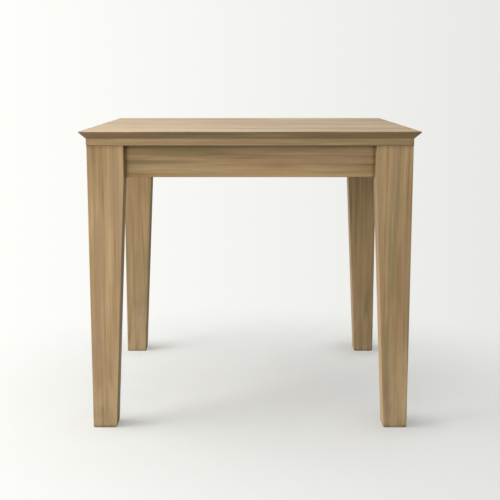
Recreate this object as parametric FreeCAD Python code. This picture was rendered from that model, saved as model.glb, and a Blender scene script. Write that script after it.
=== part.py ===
import FreeCAD, Part
import math
import os

# A square kitchen table in solid timber. A top of edge-jointed boards with an undercut edge lies on
# a mitred frieze frame. Four aprons and four legs carry the frame. A leg is sawn from thick plank:
# it keeps its depth all the way down and tapers in width, on its inner face only. A hanger bolt
# draws each leg up to a corner block, so the table comes apart.
# Millimetres, +Z up, origin on the floor under the middle of the top, front side towards -Y.

# Table
TABLE_HEIGHT = 760.0
TOP_SIDE = 840.0

# Top boards
BOARD_COUNT = 7
TOP_THICKNESS = 18.0
TOP_OVERHANG = 16.0           # top edge past the frieze face, and the run of the undercut
TOP_NIB = 2.0                 # square edge left above the undercut
TOP_ARRIS = 0.8               # eased upper edge

# Loose tongues between the boards
TONGUE_THICKNESS = 5.0
TONGUE_WIDTH = 20.0
TONGUE_STOP = 60.0            # from a board's end to the end of its tongue

# Frieze frame under the top
FRIEZE_THICKNESS = 17.0
FRIEZE_LEDGE = 42.0           # width of the frame that shows inside the aprons
FRIEZE_ROUND = 0.8
KEY_THICKNESS = 4.0
KEY_WIDTH = 24.0
KEY_STOP = 22.0               # from each end of a mitre to its key

# Legs
LEG_TOP_WIDTH = 91.0
LEG_FOOT_WIDTH = 60.0
LEG_DEPTH = 60.0              # front to back, the same at every height
LEG_SET_IN = 0.6              # leg face behind the frieze face
LEG_ROUND = 1.5
LEG_TOP_EASE = 0.8
LEG_FOOT_EASE = 2.0
LEG_FLAT = 7.0                # flat on the inner corner for the bolt, along each face

# Aprons
APRON_HEIGHT = 81.0
APRON_THICKNESS = 20.0
APRON_RECESS = 32.0           # apron face behind the leg face
APRON_ROUND = 1.2

# Dowels between the aprons and the legs
DOWEL_DIAMETER = 8.0
DOWEL_LENGTH = 50.0
DOWEL_SPACING = 42.0
DOWEL_POINT = 1.2
FLUTE_COUNT = 8
FLUTE_DIAMETER = 1.2

# Corner blocks
BLOCK_THICKNESS = 28.0
BLOCK_RISE = 12.0             # underside of a block above the apron's lower edge
BLOCK_GAP = 3.0               # left between block and leg for drawing the joint tight
BLOCK_SEAT = 12.0             # timber between a screw's head and the apron
BLOCK_SCREW_SPACING = 44.0
BLOCK_SCREW_BITE = 14.0

# Hanger bolts, washers and nuts
BOLT_DIAMETER = 8.0
BOLT_BITE = 45.0              # coarse end in the leg
BOLT_TIP = 7.0
BOLT_PROUD = 7.0              # fine end past the nut
BOLT_COARSE_PITCH = 4.0
BOLT_FINE_PITCH = 1.25
BOLT_HOLE_PLAY = 0.5
WASHER_DIAMETER = 24.0
WASHER_THICKNESS = 2.0
NUT_SIDES = 6
NUT_ACROSS_FLATS = 13.0
NUT_HEIGHT = 6.5

# Table buttons
BUTTON_WIDTH = 32.0
BUTTON_THICKNESS = 18.0
BUTTON_TONGUE = 10.0
BUTTON_TONGUE_THICKNESS = 8.0
BUTTON_MARGIN = 5.0           # end of a button to the frieze frame's inner edge
BUTTON_PLAY = 3.0             # room for the tongue to slide in its mortise
BUTTON_CHAMFER = 3.0
BUTTON_SCREW_BITE = 13.0

# Batten across the boards
BATTEN_WIDTH = 70.0
BATTEN_THICKNESS = 15.0
BATTEN_END_GAP = 2.0
BATTEN_ROUND = 2.0

# Screws
SCREW_DIAMETER = 4.5
SCREW_HEAD_DIAMETER = 9.0
SCREW_HEAD_HEIGHT = 3.0
SCREW_HEAD_RIM = 1.0
SCREW_CROWN_DIAMETER = 5.5    # flat of the head around its cross
SCREW_PITCH = 2.5
SCREW_TIP = 4.0
CROSS_SPAN = 4.4
CROSS_WIDTH = 0.9
CROSS_DEPTH = 1.8
TOP_SCREW_BITE = 12.0
RAIL_SCREW_CLEAR = 25.0       # last screw of a rail from the corner block
SLOT_TRAVEL = 6.0             # boards can move this far across the grain

# Fits
FIT_GAP = 0.1                 # around tongues, keys, dowels and threads
DEPTH_SPARE = 0.5             # past the end of a dowel, screw or bolt
HEAD_PLAY = 0.4               # around a sunk screw head
BORE_PLAY = 0.2               # inside a washer
THREAD_CORE_SHARE = 0.7       # root of a thread over its crest

# Planes of the front side, as distances from the middle of the table
FRIEZE_FACE = TOP_SIDE / 2 - TOP_OVERHANG
LEG_FACE = FRIEZE_FACE - LEG_SET_IN
LEG_INSIDE = LEG_FACE - LEG_TOP_WIDTH       # where the front and back aprons end
LEG_BACK = LEG_FACE - LEG_DEPTH             # where the side aprons end
APRON_FACE = LEG_FACE - APRON_RECESS
APRON_INSIDE = APRON_FACE - APRON_THICKNESS
APRON_MIDDLE = (APRON_FACE + APRON_INSIDE) / 2
FRIEZE_INSIDE = APRON_INSIDE - FRIEZE_LEDGE
LEDGE_MIDDLE = (APRON_INSIDE + FRIEZE_INSIDE) / 2
BUTTON_END = FRIEZE_INSIDE + BUTTON_MARGIN
BUTTON_MIDDLE = (APRON_INSIDE + BUTTON_END) / 2

# Heights
TOP_UNDER = TABLE_HEIGHT - TOP_THICKNESS
FRIEZE_UNDER = TOP_UNDER - FRIEZE_THICKNESS
FRIEZE_MIDDLE = TOP_UNDER - FRIEZE_THICKNESS / 2
APRON_UNDER = FRIEZE_UNDER - APRON_HEIGHT
APRON_MID_HEIGHT = FRIEZE_UNDER - APRON_HEIGHT / 2
BLOCK_UNDER = APRON_UNDER + BLOCK_RISE
BLOCK_MID_HEIGHT = (BLOCK_UNDER + FRIEZE_UNDER) / 2
BATTEN_UNDER = TOP_UNDER - BATTEN_THICKNESS

# Distances along a corner's diagonal, and where the block meets the apron
DIAGONAL = math.sqrt(2)
LEG_FLAT_REACH = (LEG_INSIDE + LEG_BACK + LEG_FLAT) / DIAGONAL
BLOCK_OUTER_REACH = LEG_FLAT_REACH - BLOCK_GAP
BLOCK_INNER_REACH = BLOCK_OUTER_REACH - BLOCK_THICKNESS
FOOTPRINT_OUTER = BLOCK_OUTER_REACH * DIAGONAL - APRON_INSIDE
FOOTPRINT_INNER = BLOCK_INNER_REACH * DIAGONAL - APRON_INSIDE
FOOTPRINT_MIDDLE = (FOOTPRINT_OUTER + FOOTPRINT_INNER) / 2

# Stations along a rail, where screws and buttons alternate
RAIL_SPAN = FOOTPRINT_INNER - RAIL_SCREW_CLEAR
RAIL_SCREW_STATIONS = (-RAIL_SPAN, -RAIL_SPAN / 3, RAIL_SPAN / 3, RAIL_SPAN)
BUTTON_STATIONS = (-RAIL_SPAN * 2 / 3, RAIL_SPAN * 2 / 3)

BOARD_WIDTH = TOP_SIDE / BOARD_COUNT
SCREW_HOLE_RADIUS = SCREW_DIAMETER / 2 + FIT_GAP

SIDES = ("front", "right", "back", "left")
APRON_HALVES = (LEG_INSIDE, LEG_BACK, LEG_INSIDE, LEG_BACK)
CORNERS = ("front_right", "back_right", "back_left", "front_left")
BOTH = (-1, 1)

V = FreeCAD.Vector
CENTRE = V(0, 0, 0)
UP = V(0, 0, 1)
TOWARDS_FRONT = V(0, -1, 0)
TOWARDS_CORNER = V(1, -1, 0).normalize()
TOWARDS_RIGHT = V(1, 0, 0)
QUARTER_TURN = 90.0
FULL_TURN = 360.0


def box(x_range, y_range, z_range):
    corner = V(x_range[0], y_range[0], z_range[0])
    sizes = [high - low for low, high in (x_range, y_range, z_range)]
    return Part.makeBox(*sizes, corner)


def prism(points, z_range):
    """Upright prism over a plan outline."""
    outline = [V(x, y, z_range[0]) for x, y in points]
    face = Part.Face(Part.makePolygon(outline + outline[:1]))
    return face.extrude(V(0, 0, z_range[1] - z_range[0]))


def lathe(profile):
    """Solid turned about Z from points of radius and height, closed along the axis."""
    outline = [V(radius, 0, z) for radius, z in profile]
    face = Part.Face(Part.makePolygon(outline + outline[:1]))
    return face.revolve(CENTRE, UP, FULL_TURN)


def turned(shape, quarter):
    """The same piece on another side of the table."""
    copy = shape.copy()
    copy.rotate(CENTRE, UP, QUARTER_TURN * quarter)
    return copy


def turned_point(point, quarter):
    return FreeCAD.Rotation(UP, QUARTER_TURN * quarter).multVec(point)


def aimed(shape, spot, direction):
    """A piece made along Z, moved to a spot and pointed along a direction."""
    copy = shape.copy()
    copy.Placement = FreeCAD.Placement(spot, FreeCAD.Rotation(UP, direction))
    return copy


def on_all_sides(shapes):
    return [turned(shape, quarter) for quarter in range(len(SIDES)) for shape in shapes]


def on_all_corners(shape):
    """A piece of the front right corner on each corner, in the order of CORNERS."""
    front_left = shape.mirror(CENTRE, TOWARDS_RIGHT)
    return [shape, turned(front_left, 2), turned(shape, 2), front_left]


def spread(middle, spacing):
    return (middle - spacing / 2, middle + spacing / 2)


def square_wire(half, z):
    points = [V(-half, -half, z), V(half, -half, z), V(half, half, z), V(-half, half, z)]
    return Part.makePolygon(points + points[:1])


def corner_arc(centre, radius, start_angle):
    """Quarter round in plan, counter-clockwise from an angle in degrees."""
    middle = math.radians(start_angle + QUARTER_TURN / 2)
    first = math.radians(start_angle)
    last = math.radians(start_angle + QUARTER_TURN)
    points = [centre + V(math.cos(a), math.sin(a), 0) * radius for a in (first, middle, last)]
    return Part.Arc(*points).toShape()


def rounded_wire(x_range, y_range, radius, z):
    """Level rectangle with rounded corners."""
    left, right = x_range[0] + radius, x_range[1] - radius
    near, far = y_range[0] + radius, y_range[1] - radius
    centres = (V(right, far, z), V(left, far, z), V(left, near, z), V(right, near, z))
    arcs = [corner_arc(centre, radius, QUARTER_TURN * i) for i, centre in enumerate(centres)]
    edges = []
    for i, arc in enumerate(arcs):
        following = arcs[(i + 1) % len(arcs)]
        edges.append(arc)
        edges.append(Part.makeLine(arc.lastVertex().Point, following.firstVertex().Point))
    return Part.Wire(edges)


def front_rail(half_length, outside, inside, under, over, radius):
    """Rail along the front with its two lower edges rounded."""
    bend = radius * (1 - 1 / DIAGONAL)
    start = -half_length
    outer_arc = Part.Arc(V(start, -outside, under + radius),
                         V(start, -outside + bend, under + bend),
                         V(start, -outside + radius, under)).toShape()
    inner_arc = Part.Arc(V(start, -inside - radius, under),
                         V(start, -inside - bend, under + bend),
                         V(start, -inside, under + radius)).toShape()
    upper_inner = V(start, -inside, over)
    upper_outer = V(start, -outside, over)
    wire = Part.Wire([
        outer_arc,
        Part.makeLine(outer_arc.lastVertex().Point, inner_arc.firstVertex().Point),
        inner_arc,
        Part.makeLine(inner_arc.lastVertex().Point, upper_inner),
        Part.makeLine(upper_inner, upper_outer),
        Part.makeLine(upper_outer, outer_arc.firstVertex().Point),
    ])
    return Part.Face(wire).extrude(V(2 * half_length, 0, 0))


# Screws
def thread(radius, start, pitch, length):
    """Crests and roots of a thread as points of radius and height."""
    root = radius * THREAD_CORE_SHARE
    count = int(length / pitch)
    points = [(root, start)]
    for i in range(count):
        crest = start + (i + 0.5) * pitch
        points += [(radius, crest), (root, crest + pitch / 2)]
    return points


def screw(passed, bite):
    """Round-headed wood screw, seated at its origin, with its tip along +Z."""
    radius = SCREW_DIAMETER / 2
    head = SCREW_HEAD_DIAMETER / 2
    length = passed + bite
    profile = [(0, -SCREW_HEAD_HEIGHT), (SCREW_CROWN_DIAMETER / 2, -SCREW_HEAD_HEIGHT),
               (head, -SCREW_HEAD_RIM), (head, 0), (radius, 0), (radius, passed)]
    profile += thread(radius, passed, SCREW_PITCH, bite - SCREW_TIP)
    profile.append((0, length))
    cross_height = (-SCREW_HEAD_HEIGHT, -SCREW_HEAD_HEIGHT + CROSS_DEPTH)
    long_way = (-CROSS_SPAN / 2, CROSS_SPAN / 2)
    short_way = (-CROSS_WIDTH / 2, CROSS_WIDTH / 2)
    cross = box(long_way, short_way, cross_height).fuse(box(short_way, long_way, cross_height))
    return lathe(profile).cut(cross)


def screw_hole(spot, direction, depth):
    return Part.makeCylinder(SCREW_HOLE_RADIUS, depth + DEPTH_SPARE, spot, direction)


def screw_slot(spot, depth):
    """Upright slot that lets the boards move across their grain."""
    ends = [V(0, side * SLOT_TRAVEL / 2, 0) for side in BOTH]
    rounds = [Part.makeCylinder(SCREW_HOLE_RADIUS, depth, end, UP) for end in ends]
    middle = box((-SCREW_HOLE_RADIUS, SCREW_HOLE_RADIUS), (ends[0].y, ends[1].y), (0, depth))
    slot = middle.fuse(rounds)
    slot.translate(spot)
    return slot


# Where the fasteners sit
def dowel_spots(half_length):
    """Dowels of an apron along the front: where each crosses into its leg, and which way."""
    heights = spread(APRON_MID_HEIGHT, DOWEL_SPACING)
    return [(V(side * half_length, -APRON_MIDDLE, z), V(side, 0, 0)) for side in BOTH for z in heights]


def block_screw_spots():
    """Head seats of the screws from the two blocks into the front apron."""
    heights = spread(BLOCK_MID_HEIGHT, BLOCK_SCREW_SPACING)
    seat = -APRON_INSIDE + BLOCK_SEAT
    return [V(side * FOOTPRINT_MIDDLE, seat, z) for side in BOTH for z in heights]


def bolt_spot():
    """Where the hanger bolt of the front right corner enters the leg."""
    return V(LEG_INSIDE + LEG_FLAT / 2, -LEG_BACK - LEG_FLAT / 2, BLOCK_MID_HEIGHT)


def rail_screw_spots(quarter):
    """Head seats of the screws from one frieze rail into the top."""
    spots = [V(x, -LEDGE_MIDDLE, FRIEZE_UNDER) for x in RAIL_SCREW_STATIONS]
    return [turned_point(spot, quarter) for spot in spots]


def batten_screw_spots():
    """One screw for the middle of each board that the batten crosses."""
    middles = [board_range(i)[0] + BOARD_WIDTH / 2 for i in range(BOARD_COUNT)]
    limit = FRIEZE_INSIDE - BATTEN_END_GAP - SLOT_TRAVEL - SCREW_HEAD_DIAMETER / 2
    return [V(0, y, BATTEN_UNDER) for y in middles if abs(y) < limit]


# Top
def board_range(i):
    start = -TOP_SIDE / 2 + i * BOARD_WIDTH
    return (start, start + BOARD_WIDTH)


def top_slab():
    """The whole top with its undercut, before it is divided into boards."""
    half = TOP_SIDE / 2
    sections = [square_wire(FRIEZE_FACE, TOP_UNDER),
                square_wire(half, TABLE_HEIGHT - TOP_NIB),
                square_wire(half, TABLE_HEIGHT - TOP_ARRIS),
                square_wire(half - TOP_ARRIS, TABLE_HEIGHT)]
    return Part.makeLoft(sections, True, True)


def tongue(joint, play):
    """Loose tongue in the joint behind a board, or its groove when given play."""
    y = board_range(joint)[1]
    z = TABLE_HEIGHT - TOP_THICKNESS / 2
    half_length = TOP_SIDE / 2 - TONGUE_STOP + play
    half_width = TONGUE_WIDTH / 2 + play
    half_thickness = TONGUE_THICKNESS / 2 + play
    return box((-half_length, half_length), (y - half_width, y + half_width),
               (z - half_thickness, z + half_thickness))


def top_pilot_holes():
    spots = [spot for quarter in range(len(SIDES)) for spot in rail_screw_spots(quarter)]
    spots += batten_screw_spots()
    return [screw_hole(V(spot.x, spot.y, TOP_UNDER), UP, TOP_SCREW_BITE) for spot in spots]


def top_boards():
    slab = top_slab()
    grooves = [tongue(joint, FIT_GAP) for joint in range(BOARD_COUNT - 1)]
    slab = slab.cut(grooves + top_pilot_holes())
    half = TOP_SIDE / 2
    strips = [box((-half, half), board_range(i), (TOP_UNDER, TABLE_HEIGHT)) for i in range(BOARD_COUNT)]
    return {f"top_board_{i + 1}": slab.common(strip) for i, strip in enumerate(strips)}


def top_tongues():
    return {f"top_tongue_{i + 1}": tongue(i, 0) for i in range(BOARD_COUNT - 1)}


# Frieze frame
def mitre_key(play):
    """Loose key in the front right mitre, or its slot when given play."""
    along = (FRIEZE_INSIDE * DIAGONAL + KEY_STOP - play, FRIEZE_FACE * DIAGONAL - KEY_STOP + play)
    half_width = KEY_WIDTH / 2 + play
    half_thickness = KEY_THICKNESS / 2 + play
    key = box(along, (-half_width, half_width),
              (FRIEZE_MIDDLE - half_thickness, FRIEZE_MIDDLE + half_thickness))
    key.rotate(CENTRE, UP, -QUARTER_TURN / 2)
    return key


def frieze_rails():
    rail = front_rail(FRIEZE_FACE, FRIEZE_FACE, FRIEZE_INSIDE, FRIEZE_UNDER, TOP_UNDER, FRIEZE_ROUND)
    mitred = prism([(-FRIEZE_FACE, -FRIEZE_FACE), (FRIEZE_FACE, -FRIEZE_FACE),
                    (FRIEZE_INSIDE, -FRIEZE_INSIDE), (-FRIEZE_INSIDE, -FRIEZE_INSIDE)],
                   (FRIEZE_UNDER, TOP_UNDER))
    key_slot = mitre_key(FIT_GAP)
    holes = [screw_hole(V(x, -BUTTON_MIDDLE, FRIEZE_UNDER), UP, BUTTON_SCREW_BITE) for x in BUTTON_STATIONS]
    rail = rail.common(mitred).cut([key_slot, turned(key_slot, -1)] + holes)
    rails = {}
    for quarter, side in enumerate(SIDES):
        slots = [screw_slot(spot, FRIEZE_THICKNESS) for spot in rail_screw_spots(quarter)]
        rails[f"frieze_{side}"] = turned(rail, quarter).cut(slots)
    return rails


# Legs
def leg_wire(z, ease=0.0):
    """Section of the front right leg, tapered towards its outer face below the apron."""
    rise = min(z / APRON_UNDER, 1.0)
    width = LEG_FOOT_WIDTH + (LEG_TOP_WIDTH - LEG_FOOT_WIDTH) * rise
    inner = LEG_FACE - width + ease
    outer = LEG_FACE - ease
    return rounded_wire((inner, outer), (-outer, -LEG_BACK - ease), LEG_ROUND, z)


def leg_blank():
    sections = [leg_wire(0.0, LEG_FOOT_EASE), leg_wire(LEG_FOOT_EASE), leg_wire(APRON_UNDER),
                leg_wire(FRIEZE_UNDER - LEG_TOP_EASE), leg_wire(FRIEZE_UNDER, LEG_TOP_EASE)]
    return Part.makeLoft(sections, True, True)


def legs():
    flat = prism([(LEG_INSIDE, -LEG_BACK), (LEG_INSIDE + LEG_FLAT, -LEG_BACK),
                  (LEG_INSIDE, -LEG_BACK - LEG_FLAT)], (APRON_UNDER, FRIEZE_UNDER))
    radius = BOLT_DIAMETER / 2 + FIT_GAP
    bolt_hole = Part.makeCylinder(radius, BOLT_BITE + DEPTH_SPARE, bolt_spot(), TOWARDS_CORNER)
    side_sockets = [turned(socket, 1) for socket in dowel_holes(LEG_BACK)]
    leg = leg_blank().cut([flat, bolt_hole] + dowel_holes(LEG_INSIDE) + side_sockets)
    return {f"leg_{corner}": piece for corner, piece in zip(CORNERS, on_all_corners(leg))}


# Aprons
def dowel():
    radius = DOWEL_DIAMETER / 2
    half = DOWEL_LENGTH / 2
    peg = lathe([(0, -half), (radius - DOWEL_POINT, -half), (radius, -half + DOWEL_POINT),
                 (radius, half - DOWEL_POINT), (radius - DOWEL_POINT, half), (0, half)])
    flutes = []
    for i in range(FLUTE_COUNT):
        angle = math.radians(FULL_TURN * i / FLUTE_COUNT)
        foot = V(math.cos(angle) * radius, math.sin(angle) * radius, -half)
        flutes.append(Part.makeCylinder(FLUTE_DIAMETER / 2, DOWEL_LENGTH, foot))
    return peg.cut(flutes)


def dowel_holes(half_length):
    length = DOWEL_LENGTH + 2 * DEPTH_SPARE
    radius = DOWEL_DIAMETER / 2 + FIT_GAP
    hole = Part.makeCylinder(radius, length, V(0, 0, -length / 2))
    return [aimed(hole, spot, direction) for spot, direction in dowel_spots(half_length)]


def apron_dowels():
    peg = dowel()
    pegs = []
    for quarter, half_length in enumerate(APRON_HALVES):
        placed = [aimed(peg, spot, direction) for spot, direction in dowel_spots(half_length)]
        pegs += [turned(piece, quarter) for piece in placed]
    return {"apron_dowels": Part.makeCompound(pegs)}


def button_mortise(x):
    half_width = BUTTON_WIDTH / 2 + BUTTON_PLAY
    low = FRIEZE_UNDER - BUTTON_THICKNESS - FIT_GAP
    high = low + BUTTON_TONGUE_THICKNESS + 2 * FIT_GAP
    back = -APRON_INSIDE - BUTTON_TONGUE - BUTTON_PLAY
    return box((x - half_width, x + half_width), (back, -APRON_INSIDE), (low, high))


def aprons():
    mortises = [button_mortise(x) for x in BUTTON_STATIONS]
    depth = BLOCK_SEAT + BLOCK_SCREW_BITE
    pilots = [screw_hole(spot, TOWARDS_FRONT, depth) for spot in block_screw_spots()]
    pieces = {}
    for quarter, half_length in enumerate(APRON_HALVES):
        apron = front_rail(half_length, APRON_FACE, APRON_INSIDE, APRON_UNDER, FRIEZE_UNDER, APRON_ROUND)
        apron = apron.cut(dowel_holes(half_length) + mortises + pilots)
        pieces[f"apron_{SIDES[quarter]}"] = turned(apron, quarter)
    return pieces


# Corner blocks and their fasteners
def corner_blocks():
    outline = [(APRON_INSIDE, -FOOTPRINT_OUTER), (FOOTPRINT_OUTER, -APRON_INSIDE),
               (FOOTPRINT_INNER, -APRON_INSIDE), (APRON_INSIDE, -FOOTPRINT_INNER)]
    bolt_radius = BOLT_DIAMETER / 2 + BOLT_HOLE_PLAY
    bolt_hole = Part.makeCylinder(bolt_radius, BLOCK_GAP + BLOCK_THICKNESS, bolt_spot(), -TOWARDS_CORNER)
    head_radius = SCREW_HEAD_DIAMETER / 2 + HEAD_PLAY
    screw_cuts = []
    for spot in block_screw_spots():
        screw_cuts.append(screw_hole(spot, TOWARDS_FRONT, BLOCK_SEAT))
        screw_cuts.append(Part.makeCylinder(head_radius, BLOCK_THICKNESS * DIAGONAL, spot, -TOWARDS_FRONT))
    side_cuts = [turned(cut, 1) for cut in screw_cuts]
    block = prism(outline, (BLOCK_UNDER, FRIEZE_UNDER)).cut([bolt_hole] + screw_cuts + side_cuts)
    return {f"corner_block_{corner}": piece for corner, piece in zip(CORNERS, on_all_corners(block))}


def corner_block_screws():
    piece = screw(BLOCK_SEAT, BLOCK_SCREW_BITE)
    screws = [aimed(piece, spot, TOWARDS_FRONT) for spot in block_screw_spots()]
    return {"corner_block_screws": Part.makeCompound(on_all_sides(screws))}


def hanger_bolt():
    """Bolt with a coarse end along +Z for the leg and a fine end along -Z for the nut."""
    radius = BOLT_DIAMETER / 2
    nut_seat = BLOCK_GAP + BLOCK_THICKNESS + WASHER_THICKNESS
    end = -(nut_seat + NUT_HEIGHT + BOLT_PROUD)
    fine_length = NUT_HEIGHT + BOLT_PROUD
    profile = [(0, end)]
    profile += thread(radius, end, BOLT_FINE_PITCH, fine_length)
    profile += [(radius, -nut_seat), (radius, 0)]
    profile += thread(radius, 0, BOLT_COARSE_PITCH, BOLT_BITE - BOLT_TIP)
    profile.append((0, BOLT_BITE))
    return lathe(profile)


def washer():
    foot = V(0, 0, -BLOCK_GAP - BLOCK_THICKNESS - WASHER_THICKNESS)
    disc = Part.makeCylinder(WASHER_DIAMETER / 2, WASHER_THICKNESS, foot)
    return disc.cut(Part.makeCylinder(BOLT_DIAMETER / 2 + BORE_PLAY, WASHER_THICKNESS, foot))


def nut():
    """Hexagon nut with its outer corners turned off."""
    seat = -BLOCK_GAP - BLOCK_THICKNESS - WASHER_THICKNESS
    face = seat - NUT_HEIGHT
    turn = math.radians(FULL_TURN / NUT_SIDES)
    corner_radius = NUT_ACROSS_FLATS / 2 / math.cos(turn / 2)
    angles = [turn * i for i in range(NUT_SIDES)]
    points = [(corner_radius * math.cos(angle), corner_radius * math.sin(angle)) for angle in angles]
    corner_drop = corner_radius - NUT_ACROSS_FLATS / 2
    turned_blank = lathe([(0, face), (NUT_ACROSS_FLATS / 2, face), (corner_radius, face + corner_drop),
                          (corner_radius, seat), (0, seat)])
    bore = Part.makeCylinder(BOLT_DIAMETER / 2 + FIT_GAP, NUT_HEIGHT, V(0, 0, face))
    return prism(points, (face, seat)).common(turned_blank).cut(bore)


def hanger_bolts():
    pieces = {"hanger_bolts": hanger_bolt(), "hanger_washers": washer(), "hanger_nuts": nut()}
    groups = {}
    for name, piece in pieces.items():
        groups[name] = Part.makeCompound(on_all_corners(aimed(piece, bolt_spot(), TOWARDS_CORNER)))
    return groups


# Table buttons
def button(x):
    """Button on the front apron, its tongue in the mortise and its pad under the frieze frame."""
    low = FRIEZE_UNDER - BUTTON_THICKNESS
    step = low + BUTTON_TONGUE_THICKNESS
    tip = -APRON_INSIDE - BUTTON_TONGUE
    end = -BUTTON_END
    start = x - BUTTON_WIDTH / 2
    outline = [V(start, tip, low), V(start, end - BUTTON_CHAMFER, low), V(start, end, low + BUTTON_CHAMFER),
               V(start, end, FRIEZE_UNDER), V(start, -APRON_INSIDE, FRIEZE_UNDER),
               V(start, -APRON_INSIDE, step), V(start, tip, step)]
    face = Part.Face(Part.makePolygon(outline + outline[:1]))
    hole = screw_hole(V(x, -BUTTON_MIDDLE, low), UP, BUTTON_THICKNESS)
    return face.extrude(V(BUTTON_WIDTH, 0, 0)).cut(hole)


def table_buttons():
    buttons = {}
    for quarter, side in enumerate(SIDES):
        for number, x in enumerate(BUTTON_STATIONS, 1):
            buttons[f"table_button_{side}_{number}"] = turned(button(x), quarter)
    return buttons


def table_button_screws():
    piece = screw(BUTTON_THICKNESS, BUTTON_SCREW_BITE)
    seat = FRIEZE_UNDER - BUTTON_THICKNESS
    screws = [aimed(piece, V(x, -BUTTON_MIDDLE, seat), UP) for x in BUTTON_STATIONS]
    return {"table_button_screws": Part.makeCompound(on_all_sides(screws))}


# Fixings of the top
def top_screws():
    piece = screw(FRIEZE_THICKNESS, TOP_SCREW_BITE)
    spots = [spot for quarter in range(len(SIDES)) for spot in rail_screw_spots(quarter)]
    return {"top_screws": Part.makeCompound([aimed(piece, spot, UP) for spot in spots])}


def batten():
    """Batten across the middle of the boards, inside the frieze frame."""
    half_length = FRIEZE_INSIDE - BATTEN_END_GAP
    half_width = BATTEN_WIDTH / 2
    rail = front_rail(half_length, half_width, -half_width, BATTEN_UNDER, TOP_UNDER, BATTEN_ROUND)
    slots = [screw_slot(spot, BATTEN_THICKNESS) for spot in batten_screw_spots()]
    return {"top_batten": turned(rail, 1).cut(slots)}


def batten_screws():
    piece = screw(BATTEN_THICKNESS, TOP_SCREW_BITE)
    return {"batten_screws": Part.makeCompound([aimed(piece, spot, UP) for spot in batten_screw_spots()])}


def mitre_keys():
    return {"frieze_mitre_keys": Part.makeCompound(on_all_sides([mitre_key(0)]))}


SECTIONS = (top_boards, top_tongues, frieze_rails, mitre_keys, legs, aprons, apron_dowels, corner_blocks,
            corner_block_screws, hanger_bolts, table_buttons, table_button_screws, top_screws, batten,
            batten_screws)


def main():
    os.makedirs("parts", exist_ok=True)
    for section in SECTIONS:
        for name, shape in section().items():
            shape.exportStep(os.path.join("parts", f"{name}.step"))
            state = "valid" if shape.isValid() else "INVALID"
            print(name, len(shape.Solids), "solids", round(shape.Volume), "mm3", state)


main()
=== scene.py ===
# %% [markdown]
# # A kitchen table in waxed timber
# The table's boards, rails, legs and fixings are already made at their real size, and nothing here
# moves or reshapes them. This lesson gives them what the eye reads: a viewpoint, a quiet studio and
# a finish that behaves like wood. The box round the table is measured first, so that the last cell
# can show it kept its size.

# %% Load the table
import math
from collections import namedtuple

import bpy
from mathutils import Euler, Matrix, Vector


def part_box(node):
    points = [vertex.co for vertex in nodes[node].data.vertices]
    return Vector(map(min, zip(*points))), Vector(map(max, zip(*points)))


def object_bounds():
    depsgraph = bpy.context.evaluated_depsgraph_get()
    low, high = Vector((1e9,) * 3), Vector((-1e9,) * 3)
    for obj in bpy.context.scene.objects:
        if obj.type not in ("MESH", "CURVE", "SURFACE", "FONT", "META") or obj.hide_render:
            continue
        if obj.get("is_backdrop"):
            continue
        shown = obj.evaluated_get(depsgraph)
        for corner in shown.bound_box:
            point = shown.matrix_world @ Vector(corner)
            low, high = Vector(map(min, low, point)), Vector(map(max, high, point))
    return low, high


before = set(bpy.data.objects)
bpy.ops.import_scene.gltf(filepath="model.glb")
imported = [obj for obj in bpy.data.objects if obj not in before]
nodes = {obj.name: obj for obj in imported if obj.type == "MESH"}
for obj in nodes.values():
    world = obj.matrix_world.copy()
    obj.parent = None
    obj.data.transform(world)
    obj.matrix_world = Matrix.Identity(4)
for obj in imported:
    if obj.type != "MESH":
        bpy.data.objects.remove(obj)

cad_low, cad_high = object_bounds()
print(f"{len(nodes)} pieces, {cad_high.x - cad_low.x:.3f} m wide and {cad_high.z:.3f} m high")

# %% [markdown]
# ## The viewpoint
# A person standing about three metres away sees the table nearly straight on, with just a sliver of
# its top. A long lens held at that distance keeps the legs upright, where a short lens close by
# would splay them. The camera is only tilted, never shifted, so the same camera also works when it
# walks round the table.

# %% Place the camera
EYE_DISTANCE = 2.923
EYE_HEIGHT = 0.8914
EYE_TILT = math.radians(9.619)
EYE_LENS = 73.488
LEVEL = math.radians(90)

bpy.ops.object.select_all(action="DESELECT")
eye_place = (0, -EYE_DISTANCE, EYE_HEIGHT)
bpy.ops.object.camera_add(location=eye_place, rotation=(LEVEL - EYE_TILT, 0, 0))
eye = bpy.context.object
eye.name = "eye"
eye.data.lens = EYE_LENS
bpy.context.scene.camera = eye
bpy.context.scene.view_settings.view_transform = "Standard"
print(f"the eye is {EYE_DISTANCE} m from the table's middle and {EYE_HEIGHT} m up")

# %% [markdown]
# ## Writing shader sums as Python
# A procedural finish is mostly arithmetic on numbers that change over the surface. Wiring each sum
# by hand takes a dozen lines, so one small class holds a socket and turns plus, minus, times and
# divide into Math nodes. Every other kind of node comes from its node method: the settings go in
# first, because they can change which sockets exist, and then each socket gets a value or a link.

# %% Colours and ramps
SCREEN_FULL = 255
SCREEN_TOE = 0.04045
TOE_SLOPE = 12.92
SCREEN_LIFT = 0.055
SCREEN_POWER = 2.4


def linear(level):
    """A screen's level from 0 to 1 as the light that it stands for."""
    if level <= SCREEN_TOE:
        return level / TOE_SLOPE
    return ((level + SCREEN_LIFT) / (1 + SCREEN_LIFT)) ** SCREEN_POWER


def shade(red, green, blue):
    """A colour written as it looks on a screen, from 0 to 255, as the linear light of shaders."""
    return tuple(linear(part / SCREEN_FULL) for part in (red, green, blue))


def solid(colour):
    return (*colour, 1.0)


def set_stops(ramp, stops):
    """Gives a colour ramp its stops, as pairs of place and colour, from low to high."""
    while len(ramp.elements) < len(stops):
        ramp.elements.new(1.0)
    for element, (place, colour) in zip(ramp.elements, stops):
        element.position = place
        element.color = solid(colour)


print("mid grey on a screen is a light of", round(shade(128, 128, 128)[0], 3))

# %% A socket that can be added and multiplied
NOISE_ROUGHNESS = 0.55


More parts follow.
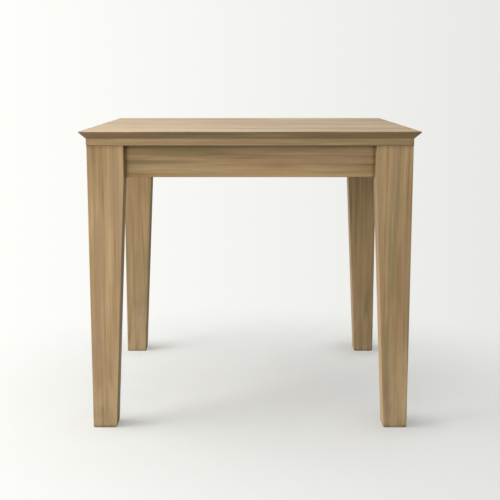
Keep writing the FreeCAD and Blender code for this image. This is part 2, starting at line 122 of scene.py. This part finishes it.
class Wire:
    """An output socket of a shader tree, for use in sums."""

    def __init__(self, tree, socket=None):
        self.tree = tree
        self.socket = socket

    def node(self, kind, settings=None, inputs=None, output=0):
        """Adds one node to the tree and returns its output as a Wire."""
        made = self.tree.nodes.new(kind)
        for name, value in (settings or {}).items():
            if name == "stops":
                set_stops(made.color_ramp, value)
            else:
                setattr(made, name, value)
        for name, value in (inputs or {}).items():
            if isinstance(value, Wire):
                self.tree.links.new(value.socket, made.inputs[name])
            else:
                made.inputs[name].default_value = value
        return Wire(self.tree, made.outputs[output] if made.outputs else None)

    def maths(self, operation, *values):
        return self.node("ShaderNodeMath", {"operation": operation}, dict(enumerate(values)))

    def __add__(self, other):
        return self.maths("ADD", self, other)

    def __radd__(self, other):
        return self.maths("ADD", other, self)

    def __sub__(self, other):
        return self.maths("SUBTRACT", self, other)

    def __rsub__(self, other):
        return self.maths("SUBTRACT", other, self)

    def __mul__(self, other):
        return self.maths("MULTIPLY", self, other)

    def __rmul__(self, other):
        return self.maths("MULTIPLY", other, self)

    def __truediv__(self, other):
        return self.maths("DIVIDE", self, other)

    def __rtruediv__(self, other):
        return self.maths("DIVIDE", other, self)

    def larger(self, other):
        return self.maths("MAXIMUM", self, other)

    def eased(self, low, high):
        """0 at low and 1 at high, with a soft step between. Low may be the larger number."""
        settings = {"interpolation_type": "SMOOTHSTEP", "clamp": True}
        inputs = {"Value": self, "From Min": low, "From Max": high}
        return self.node("ShaderNodeMapRange", settings, inputs)

    def vector_maths(self, operation, other, output=0):
        settings = {"operation": operation}
        return self.node("ShaderNodeVectorMath", settings, {0: self, 1: other}, output)

    def stretched(self, scale):
        return self.vector_maths("MULTIPLY", scale)

    def noise(self, scale, detail=2.0, output=0):
        """Cloudy noise, from a vector Wire that scale stretches first."""
        inputs = {"Vector": self.stretched(scale), "Scale": 1.0, "Detail": detail}
        inputs["Roughness"] = NOISE_ROUGHNESS
        return self.node("ShaderNodeTexNoise", {"noise_dimensions": "3D"}, inputs, output)


print("sockets can be used in sums")

# %% Mixing colours and starting a tree
# A Mix node keeps its colour sockets after those for numbers and vectors.
MIX_FACTOR, MIX_A, MIX_B, MIX_COLOUR = 0, 6, 7, 2


def mixed(factor, first, second, blend="MIX"):
    """Two colours mixed by a factor. Each is a Wire or a plain colour."""
    pair = [colour if isinstance(colour, Wire) else solid(colour) for colour in (first, second)]
    settings = {"data_type": "RGBA", "blend_type": blend}
    inputs = {MIX_FACTOR: factor, MIX_A: pair[0], MIX_B: pair[1]}
    wire = factor if isinstance(factor, Wire) else first
    return wire.node("ShaderNodeMix", settings, inputs, MIX_COLOUR)


def blank_tree(owner):
    owner.use_nodes = True
    owner.node_tree.nodes.clear()
    return Wire(owner.node_tree)


def seen_directly(start):
    """1 for what the eye sees straight, in a gloss or through a clear thing, 0 for other light."""
    straight = start.node("ShaderNodeLightPath", output="Is Camera Ray")
    in_gloss = start.node("ShaderNodeLightPath", output="Is Glossy Ray")
    through_clear = start.node("ShaderNodeLightPath", output="Is Transmission Ray")
    return straight.larger(in_gloss).larger(through_clear)


print("colours can be mixed")

# %% [markdown]
# ## The studio
# The table stands in a pale studio, a little brighter on the left, where the windows would be. The
# background that is seen and the light that falls are kept apart: the world shows a near white
# backdrop to the eye, and sends a weaker even light to the table, so a pale room doesn't wash the
# wood out. The gloss of the top sees a stronger change from left to right, as it would with a
# window on one side and a dim room on the other.

# %% Build the backdrop and the even light
BACKDROP_LEFT = shade(255, 255, 251)
BACKDROP_RIGHT = shade(232, 232, 229)
BACKDROP_TURN = 0.25
SHEEN_LEFT = (1.3, 1.3, 1.28)
SHEEN_RIGHT = (0.6, 0.6, 0.58)
EVEN_LIGHT = 0.41
EVEN_COLOUR = shade(255, 254, 250)

studio = bpy.data.worlds.new("studio")
bpy.context.scene.world = studio
start = blank_tree(studio)
direction = start.node("ShaderNodeTexCoord", output="Generated")
sideways = direction.node("ShaderNodeSeparateXYZ", inputs={0: direction})
rightward = (sideways + BACKDROP_TURN) / (2 * BACKDROP_TURN)
in_gloss = start.node("ShaderNodeLightPath", output="Is Glossy Ray")
sheen = mixed(rightward, SHEEN_LEFT, SHEEN_RIGHT)
backdrop = mixed(in_gloss, mixed(rightward, BACKDROP_LEFT, BACKDROP_RIGHT), sheen)
shown = start.node("ShaderNodeBackground", inputs={"Color": backdrop, "Strength": 1.0})
even = {"Color": solid(EVEN_COLOUR), "Strength": EVEN_LIGHT}
falling = start.node("ShaderNodeBackground", inputs=even)
both = start.node("ShaderNodeMixShader", inputs={0: seen_directly(start), 1: falling, 2: shown})
start.node("ShaderNodeOutputWorld", inputs={"Surface": both})
print(f"even light of {EVEN_LIGHT} all round")

# %% [markdown]
# ## The lamps
# Five soft boxes light the table, three of them from the left. The high one draws the shadows of
# the legs to the right. Two low ones shine in under the top, as windows do, and light the legs down
# to their feet. The last two stand in front and lift the faces that look at the eye. Soft boxes are
# used instead of small lamps, because their shadows have soft edges. They are hidden from gloss, so
# that none shows as a white patch on the top.

# %% Hang the soft boxes
AIM = Vector((0, 0, 0.42))


def soft_box(name, place, width, watts):
    bpy.ops.object.select_all(action="DESELECT")
    bpy.ops.object.light_add(type="AREA", location=place)
    lamp = bpy.context.object
    lamp.name = name
    lamp.data.shape = "DISK"
    lamp.data.size = width
    lamp.data.energy = watts
    lamp.visible_glossy = False
    beam = AIM - Vector(place)
    lamp.rotation_euler = beam.to_track_quat("-Z", "Y").to_euler()
    print(f"{name}: {watts} W from {beam.length:.2f} m")


soft_box("high_box", place=(-2.2, -0.9, 2.6), width=1.5, watts=63)
soft_box("side_window", place=(-3.0, 0.2, 1.4), width=2.0, watts=62)
soft_box("near_window", place=(-2.8, -1.4, 1.3), width=1.6, watts=17)
soft_box("front_high", place=(0, -3.2, 2.6), width=2.0, watts=6)
soft_box("front_low", place=(-0.6, -3.4, 1.1), width=2.0, watts=28)

# %% [markdown]
# ## The floor
# The floor is a broad pale disc. It has to carry the table's soft shadow and yet melt into the
# backdrop, with no horizon. A curved paper sweep would do that from the front only. Here the disc
# thins out with distance from the table until the backdrop shows through, so it works from every
# side. It stays denser beside the feet, where a shadow is deepest. The thinning is done by fine
# holes instead of a glassy mix, because the denoiser draws a ring where a glassy mix passes a
# certain strength.

# %% Model the floor
FLOOR_RADIUS = 4.0
FLOOR_SIDES = 96
FLOOR_RIM = 0.25
FLOOR_DROP = 0.02

bpy.ops.object.select_all(action="DESELECT")
bpy.ops.mesh.primitive_circle_add(
    vertices=FLOOR_SIDES, radius=FLOOR_RADIUS, fill_type="NGON", location=(0, 0, 0)
)
floor = bpy.context.object
floor.name = "floor"
bpy.ops.object.mode_set(mode="EDIT")
bpy.ops.mesh.select_all(action="SELECT")
bpy.ops.mesh.inset(thickness=FLOOR_RIM, depth=0)
bpy.ops.mesh.select_all(action="INVERT")
bpy.ops.transform.translate(value=(0, 0, -FLOOR_DROP))
bpy.ops.object.mode_set(mode="OBJECT")
floor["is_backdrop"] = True
print(f"floor of {len(floor.data.polygons)} faces")

# %% Finish the floor
FLOOR_PALE = shade(204, 204, 201)
FLOOR_BOUNCE = shade(149, 148, 145)
FLOOR_HEART = (0, -0.12, 0)
FLOOR_THIN = 0.36
FLOOR_GONE = 1.22
FLOOR_CONTACT = 0.002
FOOT_REACH = 0.175
FOOT_DENSE = 0.46

leg_low, leg_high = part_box("leg_back_right")
half_foot = (leg_high.y - leg_low.y) / 2
foot = (leg_high.x - half_foot, leg_high.y - half_foot, 0)

floor_finish = bpy.data.materials.new("pale_floor")
start = blank_tree(floor_finish)
seen = seen_directly(start)
spot = start.node("ShaderNodeTexCoord", output="Object")
distance = spot.vector_maths("DISTANCE", FLOOR_HEART, "Value")
from_foot = spot.vector_maths("ABSOLUTE", foot).vector_maths("DISTANCE", foot, "Value")
beside_foot = from_foot.eased(FOOT_REACH, 0)
thinness = FLOOR_THIN + (1 - FLOOR_THIN) * distance.eased(0, FLOOR_GONE)
thinness = thinness * (1 - FOOT_DENSE * beside_foot)
grit = spot.node("ShaderNodeTexWhiteNoise", {"noise_dimensions": "3D"}, {"Vector": spot})
holes = thinness.maths("GREATER_THAN", thinness, grit)
from_below = start.node("ShaderNodeNewGeometry", output="Backfacing")
floor_colour = mixed(seen, FLOOR_BOUNCE, FLOOR_PALE)
matt = start.node("ShaderNodeBsdfDiffuse", inputs={"Color": floor_colour})
clear = start.node("ShaderNodeBsdfTransparent")
stride = start.node("ShaderNodeLightPath", output="Ray Length")
underfoot = stride.maths("LESS_THAN", stride, FLOOR_CONTACT)
see_through = (holes.larger(from_below) * seen).larger(underfoot)
veil = start.node("ShaderNodeMixShader", inputs={0: see_through, 1: matt, 2: clear})
start.node("ShaderNodeOutputMaterial", inputs={"Surface": veil})
floor.data.materials.append(floor_finish)
print(f"floor finished, with feet {foot[0]:.3f} m from the middle each way")

# %% [markdown]
# ## How the timber is grown
# Wood is a stack of growth rings round a pith, cut by long fibres and short pores, so its figure
# runs right through the piece: long streaks on a face, small arcs on an end. A picture wrapped
# round each piece would break at its edges. A solid pattern in space doesn't, so every piece reads
# its place in the table, turned until its grain lies along X, and is moved to its own spot in the
# pattern, as if sawn from its own plank.

# %% Turn a piece's coordinates along its grain
QUARTER_TURN = math.radians(90)
EIGHTH_TURN = math.radians(45)
GRAIN_TURNS = {
    "x": Euler((0, 0, 0)),
    "y": Euler((0, 0, -QUARTER_TURN)),
    "z": Euler((0, QUARTER_TURN, 0)),
    "rising": Euler((0, 0, -EIGHTH_TURN)),
    "falling": Euler((0, 0, EIGHTH_TURN)),
}
PLANK_SPACING = Vector((3.7, 1.9, 2.3))
WANDER = (0.0, 0.012, 0.012)
WANDER_SCALE = (1.6, 5.0, 5.0)


def along_grain(start, node_name, grain, plank):
    """The place on a piece in metres, moved to its plank, with X along the grain."""
    turn = GRAIN_TURNS[grain]
    low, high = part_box(node_name)
    moved = plank * PLANK_SPACING - turn.to_matrix() @ ((low + high) / 2)
    place = start.node("ShaderNodeTexCoord", output="Object")
    inputs = {"Vector": place, "Location": moved, "Rotation": turn}
    return start.node("ShaderNodeMapping", {"vector_type": "POINT"}, inputs)


def wandering(straight):
    """The same place with the fibres wandering a little, as they do in a tree."""
    sway = straight.noise(WANDER_SCALE, detail=1.0, output=1)
    return straight.vector_maths("ADD", sway.stretched(WANDER))


print(f"grain can run {len(GRAIN_TURNS)} ways")

# %% Growth rings and pores
RING_STEP = 0.0065
RING_WAVE = 0.006
RING_SWAY = (1.3, 18, 18)
LATE_WOOD = (0.45, 0.9)
YEAR_END = (1.0, 0.93)
PITH = Vector((0.0, 0.055, 0.085))
PORES = (55, 1500, 1500)
PORE_STEP = (0.62, 0.72)


def growth_rings(wood, plank):
    """The dark late wood of each year's ring, as thin lines that come and go."""
    centre = Vector((0, plank * PLANK_SPACING.y, plank * PLANK_SPACING.z)) + PITH
    across = wood.stretched((0, 1, 1))
    radius = across.vector_maths("DISTANCE", centre, "Value")
    years = (radius + RING_WAVE * wood.noise(RING_SWAY)) / RING_STEP
    year = years.maths("FRACT", years)
    return year.eased(*LATE_WOOD) * year.eased(*YEAR_END)


def pores(wood):
    """Short dark dashes, where the knife has opened the wood's vessels."""
    return wood.noise(PORES, detail=1.0).eased(*PORE_STEP)


print(f"a growth ring every {RING_STEP * 1000:.1f} mm")

# %% [markdown]
# ## What use does to the wood, and where shade is painted
# A table that is used every day wears in known places. Knees and cloths pale the frame's arrises,
# and ends drink more finish than faces. Painted light and shade are added too: the lower legs grow
# lighter towards the feet, partly as scuffing and partly as painted light, and painted shade darkens
# each inner corner, every face that looks down, and every face of a board but its upper one, which
# makes the edge of the top dark. Painted by hand, all this would have to be done again for every
# piece. So the surface is asked where it is instead: which way it faces, how near an edge is, and
# how open the space round it is.

# %% Ends, and painted shade on faces that look down
END_SOAK = 0.012
END_STEP = (0.35, 0.85)
SHADE_FADE = 0.5
SLANT = math.sqrt(0.5)
GRAIN_LINES = {
    "x": (1, 0, 0),
    "y": (0, 1, 0),
    "z": (0, 0, 1),
    "rising": (SLANT, SLANT, 0),
    "falling": (SLANT, -SLANT, 0),
}


def end_grain(start, grain):
    """1 where the fibres are cut across, 0 along them."""
    facing = start.node("ShaderNodeNewGeometry", output="Normal")
    across = facing.vector_maths("DOT_PRODUCT", GRAIN_LINES[grain], "Value")
    return across.maths("ABSOLUTE", across).eased(*END_STEP)


def soaked_ends(straight, node_name, grain, plank):
    """1 at the two ends of the grain, which drink more finish, fading within END_SOAK."""
    low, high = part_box(node_name)
    half = abs((high - low).dot(Vector(GRAIN_LINES[grain]))) / 2
    middle = (plank * PLANK_SPACING.x, 0, 0)
    offset = straight.stretched((1, 0, 0)).vector_maths("DISTANCE", middle, "Value")
    return offset.eased(half - END_SOAK, half)


def painted_underside_shade(start, dull_from):
    """Painted shade: 1 on faces that tilt down past a given point, from -1 on top to 1 underneath.
    """
    facing = start.node("ShaderNodeNewGeometry", output="Normal")
    downward = facing.vector_maths("DOT_PRODUCT", (0, 0, -1), "Value")
    return downward.eased(dull_from, dull_from + SHADE_FADE)


print(f"ends soak up finish for {END_SOAK * 1000:.0f} mm")

# %% Rubbed edges, painted light near the feet, and painted corner shade
ARRIS = 0.004
ARRIS_STEP = (0.03, 0.25)
FOOT_SCUFF_AND_LIGHT = 0.35
RUB_MARKS = (14, 70, 70)
RUB_STEP = (0.3, 0.62)
NOOK = 0.012
NOOK_STEP = (0.9, 0.5)
EDGE_SAMPLES = 6


def wear_and_foot_light(start, wood):
    """1 on worn arrises, and low on the legs as scuffing and painted light, broken along the grain.
    """
    facing = start.node("ShaderNodeNewGeometry", output="Normal")
    rounded = start.node("ShaderNodeBevel", {"samples": EDGE_SAMPLES}, {"Radius": ARRIS})
    arris = 1 - facing.vector_maths("DOT_PRODUCT", rounded, "Value")
    place = start.node("ShaderNodeTexCoord", output="Object")
    height = place.node("ShaderNodeSeparateXYZ", inputs={0: place}, output=2)
    # Near the floor the mask rises towards the feet: partly scuffing, partly painted light on the
    # lower legs.
    rubbed_and_lit = arris.eased(*ARRIS_STEP).larger(height.eased(FOOT_SCUFF_AND_LIGHT, 0.0))
    return rubbed_and_lit * wood.noise(RUB_MARKS).eased(*RUB_STEP)


def painted_corner_shade(start):
    """Painted shade: 1 in inner corners, where the space round a point closes in."""
    settings = {"samples": EDGE_SAMPLES}
    openness = start.node("ShaderNodeAmbientOcclusion", settings, {"Distance": NOOK}, "AO")
    return openness.eased(*NOOK_STEP)


# The second length is how far painted shade reaches into an inner corner.
print(f"edges rubbed over {ARRIS * 1000:.0f} mm, painted_shade kept {NOOK * 1000:.0f} mm into a corner")

# %% [markdown]
# ## Mixing the finish
# The figure of the wood is one number at each point. Clouds, patches, streaks and fine fibres move
# it both ways, and veins, rings and pores darken it. A ramp of four browns turns the number into a
# colour, and slow drifts to olive and rose keep it from looking printed. The same patterns drive the
# roughness and a very shallow bump, because the pores that look dark on real wood are also dull and
# sunk.

# %% Draw the wood's figure
CLOUDS = (1.8, 11, 11)
PATCHES = (5.0, 32, 32)
STREAKS = (3.2, 80, 80)
VEINS = (1.2, 170, 170)
VEIN_STEP = (0.54, 0.68)
FIBRES = (12, 420, 420)
NOISE_MIDDLE = 0.5
PLAIN_WOOD = 0.52
PATCH_SHARE = 0.45
FIBRE_SHARE = 0.4
VEIN_SHARE = 0.2
RING_SHARE = 0.04
PORE_SHARE = 0.08
FIBRE_RISE = 0.6
STREAK_RISE = 0.5
PORE_SINK = 0.6
RING_SINK = 0.3
# The last field of a stock is how far a face must tilt down before it gets painted shade.
Stock = namedtuple("Stock", "shades polish drift cloud streak rub dull_from")


def wood_figure(wood, plank, stock):
    """The wood's figure, near 0.5 on plain wood, and the height of its surface."""
    cloud = wood.noise(CLOUDS) - NOISE_MIDDLE
    patch = wood.noise(PATCHES) - NOISE_MIDDLE
    streak = wood.noise(STREAKS, detail=3.0) - NOISE_MIDDLE
    vein = wood.noise(VEINS, detail=1.0).eased(*VEIN_STEP)
    fibre = wood.noise(FIBRES) - NOISE_MIDDLE
    rings = growth_rings(wood, plank)
    pits = pores(wood)
    figure = PLAIN_WOOD + stock.cloud * cloud + PATCH_SHARE * patch
    figure = figure + stock.streak * (streak + FIBRE_SHARE * fibre - VEIN_SHARE * vein)
    figure = figure - RING_SHARE * rings - PORE_SHARE * pits
    relief = FIBRE_RISE * fibre + STREAK_RISE * streak - PORE_SINK * pits - RING_SINK * rings
    return figure, relief


print("a stock of planks has its own", ", ".join(Stock._fields))

# %% Mix the timber's colour
GREY_DRIFT = (2.0, 52, 52)
WARM_DRIFT = (1.9, 46, 46)
DRIFT_STEP = (0.48, 0.68)
OLIVE = shade(148, 132, 96)
ROSE = shade(176, 145, 115)
PALE_WEAR_AND_LIGHT = shade(212, 187, 149)
CORNER_SHADE = shade(88, 70, 46)
SHADE_AND_SOAK_TINT = (0.53, 0.52, 0.45)
END_DULL = 0.45
CORNER_SHADE_SHOWS = 0.6
BARE_ROUGH = 0.7
POLISH_SMOOTHS = 0.45
FIGURE_SMOOTHS = 0.12
RUB_ROUGHENS = 0.08
RELIEF_STRENGTH = 0.25
RELIEF_DEPTH = 0.0006


def bumpy(height, strength, depth):
    """A surface direction that rises and sinks with a height, by a depth in metres."""
    inputs = {"Strength": strength, "Distance": depth, "Height": height}
    return height.node("ShaderNodeBump", inputs=inputs)


def timber(name, node_name, grain, plank, stock, tone=1.0):
    """A finished piece of wood from a stock of planks. Tone lightens or darkens the whole piece."""
    finish = bpy.data.materials.new(name)
    start = blank_tree(finish)
    straight = along_grain(start, node_name, grain, plank)
    wood = wandering(straight)
    figure, relief = wood_figure(wood, plank, stock)
    body = figure.node("ShaderNodeValToRGB", {"stops": stock.shades}, {"Fac": figure})
    body = mixed(stock.drift * wood.noise(GREY_DRIFT).eased(*DRIFT_STEP), body, OLIVE)
    body = mixed(stock.drift * wood.noise(WARM_DRIFT).eased(*DRIFT_STEP), body, ROSE)
    body = mixed(1.0, body, (tone, tone, tone), "MULTIPLY")
    ends = end_grain(start, grain).larger(soaked_ends(straight, node_name, grain, plank))
    # Painted shade darkens faces that look down, and real soaking darkens the end grain; both use
    # one tint.
    shade_and_soak = painted_underside_shade(start, stock.dull_from).larger(END_DULL * ends)
    body = mixed(shade_and_soak, body, mixed(1.0, body, SHADE_AND_SOAK_TINT, "MULTIPLY"))
    # Painted shade: inner corners, found by ambient occlusion, are darkened.
    body = mixed(CORNER_SHADE_SHOWS * painted_corner_shade(start), body, CORNER_SHADE)
    rubbed_and_lit = wear_and_foot_light(start, wood)
    # Worn arrises go pale with use; the lower legs go pale towards the feet, partly scuffing and
    # partly painted light.
    body = mixed(stock.rub * rubbed_and_lit, body, PALE_WEAR_AND_LIGHT)
    rough = BARE_ROUGH - POLISH_SMOOTHS * stock.polish
    rough = rough - FIGURE_SMOOTHS * (figure - NOISE_MIDDLE) + RUB_ROUGHENS * rubbed_and_lit
    look = {
        "Base Color": body,
        "Roughness": rough,
        "Normal": bumpy(relief, RELIEF_STRENGTH, RELIEF_DEPTH),
        "Specular IOR Level": stock.polish,
    }
    surface = start.node("ShaderNodeBsdfPrincipled", inputs=look)
    start.node("ShaderNodeOutputMaterial", inputs={"Surface": surface})
    return finish


print(f"timber finish ready, with a relief of {RELIEF_DEPTH * 1000:.1f} mm")

# %% [markdown]
# ## Giving each piece its plank
# A joiner picks boards of one colour but never two alike. So each piece of the table gets a plank
# number, which chooses its spot in the pattern. The boards of the top also differ in tone, and
# friezes, aprons and legs have one tone for each kind. A board gets painted shade on every face but
# its upper one.

# %% Lay out the planks
def give(node_name, finish):
    piece = nodes[node_name]
    if not piece.material_slots:
        piece.data.materials.append(finish)
    for slot in piece.material_slots:
        slot.material = finish


TABLE_SHADES = [
    (0.2, shade(139, 111, 77)),
    (0.42, shade(172, 143, 104)),
    (0.6, shade(189, 160, 119)),
    (0.82, shade(208, 182, 144)),
]
# The boards get painted shade on every face but the upper one, the frame only on faces that look
# down.
BOARD_STOCK = Stock(
    TABLE_SHADES, polish=0.5, drift=0.9, cloud=0.8, streak=1.15, rub=0.05, dull_from=-0.95
)
# The frame's arrises go pale with use, and its legs get painted light that grows towards the feet.
FRAME_STOCK = Stock(
    TABLE_SHADES, polish=0.15, drift=0.85, cloud=0.4, streak=0.55, rub=0.35, dull_from=0.25
)
SIDE_GRAIN = {"front": "x", "back": "x", "left": "y", "right": "y"}
BOARD_TONES = (1.13, 1.06, 1.11, 0.98, 1.05, 0.93, 1.03)
FRIEZE_TONE = 0.87
APRON_TONE = 0.99
LEG_TONE = 0.955

table_pieces = []
for name in sorted(nodes):
    kind, _, rest = name.partition("_")
    if name.startswith("top_board_"):
        tone = BOARD_TONES[int(rest.removeprefix("board_")) - 1]
        table_pieces.append((name, "x", tone, BOARD_STOCK))
    elif kind == "frieze" and rest in SIDE_GRAIN:
        table_pieces.append((name, SIDE_GRAIN[rest], FRIEZE_TONE, FRAME_STOCK))
    elif kind == "apron" and rest in SIDE_GRAIN:
        table_pieces.append((name, SIDE_GRAIN[rest], APRON_TONE, FRAME_STOCK))
    elif kind == "leg":
        table_pieces.append((name, "z", LEG_TONE, FRAME_STOCK))

for plank, (name, grain, tone, stock) in enumerate(table_pieces, start=1):
    give(name, timber(f"waxed_{name}", name, grain, plank, stock, tone))
print(f"{len(table_pieces)} pieces of table timber")

# %% [markdown]
# ## The hidden timber
# Corner blocks, buttons and the batten under the top never see daylight, so a maker cuts them from
# a plain pale hardwood and leaves them bare. Tongues, keys and dowels are small and pale too. The
# same pattern serves, with paler shades and less grey.

# %% Finish the hidden timber
BARE_SHADES = [
    (0.18, shade(170, 140, 102)),
    (0.45, shade(196, 168, 128)),
    (0.6, shade(208, 182, 143)),
    (0.85, shade(222, 200, 164)),
]
# Bare pieces get painted shade on faces that look down as well.
BARE_STOCK = Stock(
    BARE_SHADES, polish=0.1, drift=0.15, cloud=0.5, streak=0.8, rub=0.1, dull_from=0.25
)
BLOCK_GRAIN = {
    "front_right": "rising",
    "back_left": "rising",
    "back_right": "falling",
    "front_left": "falling",
}
ACROSS = {"front": "y", "back": "y", "left": "x", "right": "x"}

bare_pieces = [("top_batten", "y"), ("frieze_mitre_keys", "x"), ("apron_dowels", "x")]
for name in sorted(nodes):
    if name.startswith("corner_block_") and name != "corner_block_screws":
        bare_pieces.append((name, BLOCK_GRAIN[name.removeprefix("corner_block_")]))
    elif name.startswith("table_button_") and name != "table_button_screws":
        bare_pieces.append((name, ACROSS[name.split("_")[2]]))
    elif name.startswith("top_tongue_"):
        bare_pieces.append((name, "x"))

for plank, (name, grain) in enumerate(bare_pieces, start=1 + len(table_pieces)):
    give(name, timber(f"bare_{name}", name, grain, plank, BARE_STOCK))
print(f"{len(bare_pieces)} pieces of bare timber")

# %% [markdown]
# ## The fixings
# Screws, hanger bolts, washers and nuts are zinc plated steel. Plating isn't a mirror: it has a
# fine grain from the bath and a faint straw tint, so both roughness and colour drift a little.

# %% Finish the steel
ZINC = shade(196, 197, 194)
STRAW = shade(190, 182, 160)
PLATE_CLOUDS = (90, 90, 90)
PLATE_GRAIN = (1800, 1800, 1800)
STRAW_STEP = (0.4, 0.7)
PLATE_ROUGH = 0.3
PLATE_ROUGHER = 0.2
PLATE_STRENGTH = 0.15
PLATE_DEPTH = 0.0002

steel = bpy.data.materials.new("zinc_plated_steel")
start = blank_tree(steel)
place = start.node("ShaderNodeTexCoord", output="Object")
drift = place.noise(PLATE_CLOUDS)
plate_look = {
    "Base Color": mixed(drift.eased(*STRAW_STEP), ZINC, STRAW),
    "Metallic": 1.0,
    "Roughness": PLATE_ROUGH + PLATE_ROUGHER * drift,
    "Normal": bumpy(place.noise(PLATE_GRAIN, detail=1.0), PLATE_STRENGTH, PLATE_DEPTH),
}
plated = start.node("ShaderNodeBsdfPrincipled", inputs=plate_look)
start.node("ShaderNodeOutputMaterial", inputs={"Surface": plated})

finished = {piece[0] for piece in table_pieces + bare_pieces}
fixings = sorted(set(nodes) - finished)
for name in fixings:
    give(name, steel)
print("steel:", ", ".join(fixings))

# %% [markdown]
# ## Checking the size
# A finish must not change what was built. The box round the table is measured again, and its change
# from the first one is printed.

# %% Measure the box again and print the change
shown_low, shown_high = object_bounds()
change = max((shown_high - cad_high).length, (shown_low - cad_low).length)
print(f"the box changed by {change * 1000:.3f} mm")
